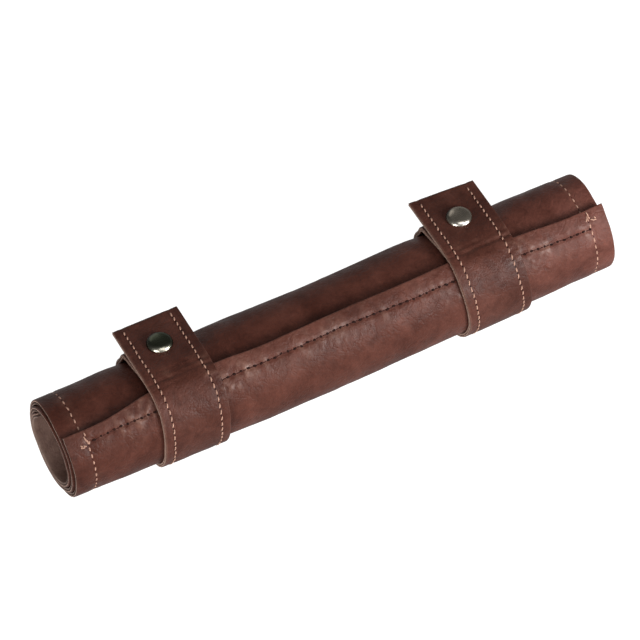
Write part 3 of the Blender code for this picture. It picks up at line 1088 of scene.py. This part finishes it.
def stitch_strap(side, s, columns, mid, outward, face, back, spans):
    """Thread loops down both sides of a strap, and dark discs of painted shade in the needle
    holes.
    """
    stitches, needle_hole_shades = defaultdict(list), defaultdict(list)

    def row_at(distance):
        return int(np.clip(np.searchsorted(s, distance), 1, len(s) - 1)) - 1

    def section_at(distance):
        row = row_at(distance)
        return next(name for name, (first, last) in spans.items() if first <= row < last)

    def point_at(distance, across, grid):
        """Point, direction along the strap, and outward normal."""
        i = row_at(distance)
        j = int(np.clip(np.searchsorted(columns, across), 1, len(columns) - 1))
        f = (distance - s[i]) / (s[i + 1] - s[i])
        g = (across - columns[j - 1]) / (columns[j] - columns[j - 1])

        def between(values):
            here = values[i, j - 1] * (1 - g) + values[i, j] * g
            there = values[i + 1, j - 1] * (1 - g) + values[i + 1, j] * g
            return here * (1 - f) + there * f

        along = mid[i + 1, j] - mid[i, j]
        return between(grid), along / np.linalg.norm(along), between(outward)

    # grid, direction of its normal, lift of the thread, slant of the stitch
    faces = [(face, 1, 0.05, 0.22), (back, -1, 0.02, 0.0)]
    for distance in np.arange(3.6, s[-1] - 3.0, 2.75):
        hole_at = distance + 1.38
        for seam in STRAP_SEAMS:
            for grid, sign, raised, slant in faces:
                point, along, normal = point_at(distance, seam + rng.normal(0, 0.05), grid)
                normal = normal * sign
                stitches[section_at(distance)].append((
                    point + normal * raised, along + X_AXIS * (slant + rng.normal(0, 0.09)),
                    normal, 2.15 + rng.normal(0, 0.12)))
            point, along, normal = point_at(min(hole_at, s[-1] - 3.2), seam, face)
            needle_hole_shades[section_at(hole_at)].append((point - normal * 0.05, along, normal,
                                                      0.7))
    for section in spans:
        for kind, store, material, radius, flatness in (
                ("stitches", stitches, THREAD, 0.30, 0.75),
                ("hole_shades", needle_hole_shades, HOLE_SHADE, 0.32, 0.3)):
            loops = thread_loops(f"strap_{side}_{kind}_{section}", store[section], material,
                                 radius, flatness)
            join_strap(loops, section)


def build_strap(side, centre_x, tip_length, drift, skew, seed):
    """Strap from its tab, round the roll and over the flap, to its tip.

    drift is a table of (distance from the fold, sideways offset); skew turns the tip's end.
    """
    line, s = strap_line(centre_x, tip_length)
    count = len(line)
    tangent = np.gradient(line, axis=0)
    tangent /= np.linalg.norm(tangent, axis=1, keepdims=True)
    normal = np.stack([tangent[:, 1], -tangent[:, 0]], -1)
    # the whole line turns one way round the roll, so one sign serves
    if np.median(np.sign(np.sum(normal * line, 1))) < 0:
        normal = -normal
    q = ((np.degrees(np.arctan2(line[:, 1], line[:, 0])) - 90) / PANEL_ANGLE) % TURN

    # the wrapped part lies between the tab's bend and the top of the roll
    wrap_start = int(np.argmax((line[:, 0] > 20.0) & (line[:, 1] < 11.5)))
    front = int(np.argmin(line[:, 0]))
    wrap_end = front + int(np.argmax(line[front:, 0] > -3.4))
    station = np.arange(count)
    wrapped = (smooth(station, wrap_start, wrap_start + 12)
               * (1 - smooth(station, wrap_end - 8, wrap_end)))
    toward_tip = smooth(s, s[wrap_end], s[-1])

    # the middle surface follows the sheet beneath across the strap's width
    columns = strap_columns()
    x = centre_x + columns + np.interp(s - s[wrap_end], *zip(*drift))[:, None]
    centre_r = np.hypot(*base(q, np.full(count, centre_x)))
    sheet_r = np.hypot(*base(np.repeat(q[:, None], len(columns), 1), x))
    rise = (sheet_r - centre_r[:, None]) * wrapped[:, None]
    y, z = (line[:, c, None] + normal[:, c, None] * rise
            - tangent[:, c, None] * skew * columns * toward_tip[:, None] for c in (0, 1))
    mid = np.stack([x, y, z], -1)
    outward = grid_normals(mid, np.stack([np.zeros(count), *normal.T], -1)[:, None, :])

    across = np.repeat(columns[None, :], count, 0)
    along = np.repeat(s[:, None], len(columns), 1)
    edge = np.minimum(np.minimum(across + HALF_STRAP, HALF_STRAP - across),
                      np.minimum(along, s[-1] - along) + 0.02)
    snap_at = s[-1] - (tip_length - SNAP_ALONG[side])
    height, wear_and_highlight = strap_relief(across, along, edge, along - (s[wrap_end] + 3.4),
                                along - snap_at, seed)
    drop = rounded(edge, 0.4)
    gap = outward * (STRAP_GAP + 0.5 * rounded(edge, 0.28))[..., None]
    face = mid + outward * (PLY + height - drop)[..., None]
    face[..., 2] = np.maximum(face[..., 2], -AXIS_Z + 0.02)
    back = mid - outward * (PLY - drop)[..., None]
    uv = np.stack([across + centre_x * 3, along + 400], -1)
    materials = [STRAP_LEATHER, STRAP_EDGE]
    plies = {"face": Ply(face, mid + gap, grid_normals(face, outward), -outward, uv, wear_and_highlight,
                         materials),
             "back": Ply(back, mid - gap, grid_normals(back, -outward), outward, uv,
                         wear_and_highlight * 0.6, materials)}

    # cut half way between hinges
    wrap_q = q[wrap_start:wrap_end]
    cuts = [wrap_start + int(np.argmin(np.abs(((wrap_q - cut) + 4) % TURN - 4)))
            for cut in WRAP_CUTS]
    cuts = [0, *cuts, wrap_end, count - 1]
    spans = dict(zip(STRAP_SECTIONS, zip(cuts, cuts[1:])))
    for section, (first, last) in spans.items():
        pieces = [ply_piece(f"strap_{side}_{name}_{section}", ply, first, last)
                  for name, ply in plies.items()]
        for piece in pieces:
            join_strap(piece, section)
        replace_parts(pieces[0], *[f"strap_{side}_{part}" for part in STRAP_SECTIONS[section]])
    stitch_strap(side, s, columns, mid, outward, face, back, spans)


build_strap("left", LEFT_X, tip_length=30.1, skew=0.017, seed=200, drift=[
    (-150, 1.0), (-118, 0.8), (-98, 0.2), (-84, 0.0), (-60, -0.4), (-42, -1.5),
    (-28, -1.3), (-20, -0.6), (-12, 0.1), (0, 0.1), (17, 0.5), (32, 1.0)])
build_strap("right", RIGHT_X, tip_length=31.0, skew=0.066, seed=300, drift=[
    (-90, 0.0), (-50, 0.2), (-32, 0.3), (-20, -0.5), (-12, -0.8), (0, -0.7), (15, -0.3),
    (32, 0.1)])


# ---------------------------------------------------------------- snaps
def brushed(name, colour, painted_highlight_colour, dark_reflection_colour=(0.05, 0.05, 0.04), rough=0.27):
    """Brushed metal, with a painted highlight and a painted dark reflection laid on by two
    attributes.
    """
    material, tree, shader = new_material(name)
    coords = add(tree, "ShaderNodeTexCoord")
    mapping = add(tree, "ShaderNodeMapping")
    mapping.inputs["Scale"].default_value = (300, 2600, 300)     # streaks across Y
    feed(tree, mapping.inputs[0], coords.outputs["Object"])
    streaks = noise(tree, mapping.outputs[0], scale=1.0, detail=4, rough=0.6)
    cloud = noise(tree, coords.outputs["Object"], scale=260, detail=3, rough=0.6)
    finish = ramp(tree, cloud, [(0.3, tuple(c * 0.78 for c in colour)), (0.7, colour)])
    painted_highlight = add(tree, "ShaderNodeAttribute", {"attribute_name": "painted_highlight"})
    painted_dark_reflection = add(tree, "ShaderNodeAttribute", {"attribute_name": "painted_dark_reflection"})
    finish = mix(tree, painted_dark_reflection.outputs["Fac"], finish, dark_reflection_colour)
    finish = mix(tree, painted_highlight.outputs["Fac"], finish, painted_highlight_colour)
    feed(tree, shader.inputs["Base Color"], finish)
    shader.inputs["Metallic"].default_value = 1.0
    gloss = ramp(tree, streaks, [(0.3, rough * 0.8), (0.7, rough * 1.25)])
    feed(tree, shader.inputs["Roughness"], gloss)
    bump(tree, shader, streaks, strength=0.08, distance=0.00003)
    return material


CAP_METAL = {
    "left": brushed("cap_gunmetal", (0.075, 0.082, 0.055), painted_highlight_colour=(0.85, 0.80, 0.66)),
    "right": brushed("cap_satin", (0.40, 0.35, 0.285), painted_highlight_colour=(0.95, 0.90, 0.80),
                     dark_reflection_colour=(0.06, 0.055, 0.045))}
SNAP_METAL = brushed("snap_brass_nickel", (0.50, 0.46, 0.38), painted_highlight_colour=(0.7, 0.65, 0.55),
                     rough=0.3)

# the snap's axis is square to the sloping tip
SNAP_UP = np.array([0, math.sin(TIP_SLOPE), math.cos(TIP_SLOPE)])
SNAP_BACK = np.array([0, math.cos(TIP_SLOPE), -math.sin(TIP_SLOPE)])
SNAP_X = {"left": LEFT_X + 0.4, "right": RIGHT_X - 0.3}
SNAP_SIDES = 56
TAB_DEPTH = -4.574           # height of the tab under the snap

# profiles of (radius, height along the snap's axis)
CAP_PROFILE = [
    (0, 3.25), (1.3, 3.22), (2.5, 3.10), (3.5, 2.88), (4.2, 2.58), (4.72, 2.18), (5.08, 1.76),
    (5.31, 1.38), (5.42, 1.08), (5.38, 0.88), (5.2, 0.76), (4.7, 0.72), (1.25, 0.72),
    (1.25, -1.75), (0, -1.75)]
SOCKET_PROFILE = [
    (3.45, -0.98), (3.65, -1.1), (3.7, -1.35), (3.7, -2.2), (3.6, -2.45), (3.35, -2.58),
    (2.5, -2.6), (2.1, -2.5), (2.0, -2.3), (2.0, -1.85), (1.5, -1.8), (1.5, -0.98)]
STUD_PROFILE = [
    (0, -1.95), (0.9, -1.97), (1.3, -2.05), (1.6, -2.25), (1.6, -2.45), (1.35, -2.7),
    (1.3, -2.85), (1.6, -2.98), (2.9, -3.05), (3.2, -3.2), (3.25, TAB_DEPTH + 1.05),
    (0.95, TAB_DEPTH + 1.05), (0.95, -2.3), (0, -2.3)]
POST_PROFILE = [
    (0, -2.5), (0.7, -2.5), (0.7, TAB_DEPTH - 1.02), (2.1, TAB_DEPTH - 1.04),
    (2.25, TAB_DEPTH - 1.15), (2.2, TAB_DEPTH - 1.35), (1.9, TAB_DEPTH - 1.45),
    (0, TAB_DEPTH - 1.47)]


def turned(name, profile, centre, material, closed):
    """Turned piece about the snap's axis; a closed profile makes a ring."""
    verts, rings = [], []
    for radius, height in profile:
        start = len(verts)
        middle = centre + SNAP_UP * height
        if radius == 0:
            verts.append(middle)
        else:
            for g in range(SNAP_SIDES):
                a = 2 * math.pi * g / SNAP_SIDES
                verts.append(middle + (X_AXIS * math.cos(a) + SNAP_BACK * math.sin(a)) * radius)
        rings.append(list(range(start, len(verts))))
    ob = make_mesh(name, verts, ring_faces(rings, closed), [material])
    mesh = ob.data

    # painted highlight along the front of the rim, painted dark reflection at the back
    offset = np.array(verts) - centre
    x, back, height = offset[:, 0], offset @ SNAP_BACK, offset @ SNAP_UP
    radius = np.hypot(x, back)
    angle = np.arctan2(-back, -x)          # 0 towards -X, 90 degrees towards the front
    on_top = (height > 0.5).astype(float)
    set_floats(mesh, "painted_highlight", smooth(radius, 3.9, 4.9) * on_top * hump(angle - 1.25, 0.62))
    set_floats(mesh, "painted_dark_reflection", smooth(radius, 3.2, 4.3) * on_top * hump(angle + 0.75, 0.8))

    bm = bmesh.new()
    bm.from_mesh(mesh)
    bmesh.ops.recalc_face_normals(bm, faces=bm.faces)
    bm.to_mesh(mesh)
    bm.free()
    mesh.set_sharp_from_angle(angle=math.radians(42))
    return ob


def build_snap(side):
    """Cap and socket on the tip, stud and post on the tab."""
    reach = SNAP_ALONG[side]
    centre = np.array([SNAP_X[side], reach * math.cos(TIP_SLOPE),
                       FOLD_Z - reach * math.sin(TIP_SLOPE)])
    for part, profile, material, carrier, closed in (
            ("cap", CAP_PROFILE, CAP_METAL[side], "tip", False),
            ("socket", SOCKET_PROFILE, SNAP_METAL, "tip", True),
            ("stud", STUD_PROFILE, SNAP_METAL, "tab", False),
            ("post", POST_PROFILE, SNAP_METAL, "tab", False)):
        ob = turned(f"snap_{side}_{part}", profile, centre, material, closed)
        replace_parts(ob, f"snap_{part}_{side}")
        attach(ob, f"{carrier}_{side}")


build_snap("left")
build_snap("right")


# ---------------------------------------------------------------- stage, in metres
def build_floor():
    mesh = bpy.data.meshes.new("floor")
    mesh.from_pydata([(-6, -6, 0), (6, -6, 0), (6, 6, 0), (-6, 6, 0)], [], [(0, 1, 2, 3)])
    ob = bpy.data.objects.new("floor", mesh)
    bpy.context.scene.collection.objects.link(ob)
    material, tree, shader = new_material("floor_paper")
    shader.inputs["Base Color"].default_value = (0.22, 0.22, 0.22, 1)
    shader.inputs["Emission Color"].default_value = (1, 1, 1, 1)
    # white to the eye, dimmer as a source of light on the leather
    seen = add(tree, "ShaderNodeLightPath").outputs["Is Camera Ray"]
    glow = calc(tree, "ADD", calc(tree, "MULTIPLY", seen, 0.75), 0.3)
    feed(tree, shader.inputs["Emission Strength"], glow)
    shader.inputs["Roughness"].default_value = 0.9
    shader.inputs["Specular IOR Level"].default_value = 0.1
    mesh.materials.append(material)


def area_light(name, place, target, size, power, height=None):
    """Square light, or a rectangle if a height is given."""
    light = bpy.data.lights.new(name, "AREA")
    light.energy = power
    light.size = size
    if height:
        light.shape = "RECTANGLE"
        light.size_y = height
    ob = bpy.data.objects.new(name, light)
    bpy.context.scene.collection.objects.link(ob)
    ob.location = place
    aim = Vector(target) - Vector(place)
    ob.rotation_euler = aim.to_track_quat("-Z", "Y").to_euler()


def build_camera():
    """Long lens looking down from the front left, rolled about its own axis."""
    camera = bpy.data.cameras.new("camera")
    ob = bpy.data.objects.new("camera", camera)
    bpy.context.scene.collection.objects.link(ob)
    azimuth, elevation, roll = math.radians(-36.617), math.radians(60.53), math.radians(9.722)
    back = np.array([math.cos(elevation) * math.sin(azimuth),
                     -math.cos(elevation) * math.cos(azimuth), math.sin(elevation)])
    place = world(np.array([1.073, 6.194, 0.0])) + 2.5 * back
    level = np.cross(-back, [0, 0, 1.0])
    level /= np.linalg.norm(level)
    upright = np.cross(level, -back)
    right = level * math.cos(roll) + upright * math.sin(roll)
    up = -level * math.sin(roll) + upright * math.cos(roll)
    ob.matrix_world = Matrix((*zip(right, up, back, place), (0, 0, 0, 1)))
    camera.sensor_width = 36.0
    camera.lens = 349.245
    camera.clip_start = 0.05
    camera.clip_end = 50
    bpy.context.scene.camera = ob


build_floor()
studio = bpy.data.worlds.new("studio")
bpy.context.scene.world = studio
studio.use_nodes = True
background = studio.node_tree.nodes["Background"]
background.inputs["Color"].default_value = (1, 1, 1, 1)
background.inputs["Strength"].default_value = 0.17

area_light("key", (0.46, -0.62, 0.46), (0.03, 0, 0.02), size=0.45, power=8.2, height=0.35)
area_light("side", (-0.75, -0.40, 0.30), (-0.03, 0, 0.02), size=0.4, power=3.4)
area_light("back", (0.0, 1.0, 0.25), (0, 0, 0.02), size=0.6, power=1.0)
area_light("top", (0.0, -0.55, 1.3), (0, 0, 0), size=0.8, power=3.6)
build_camera()
bpy.context.scene.view_settings.view_transform = "Standard"
bpy.context.scene.view_settings.look = "None"
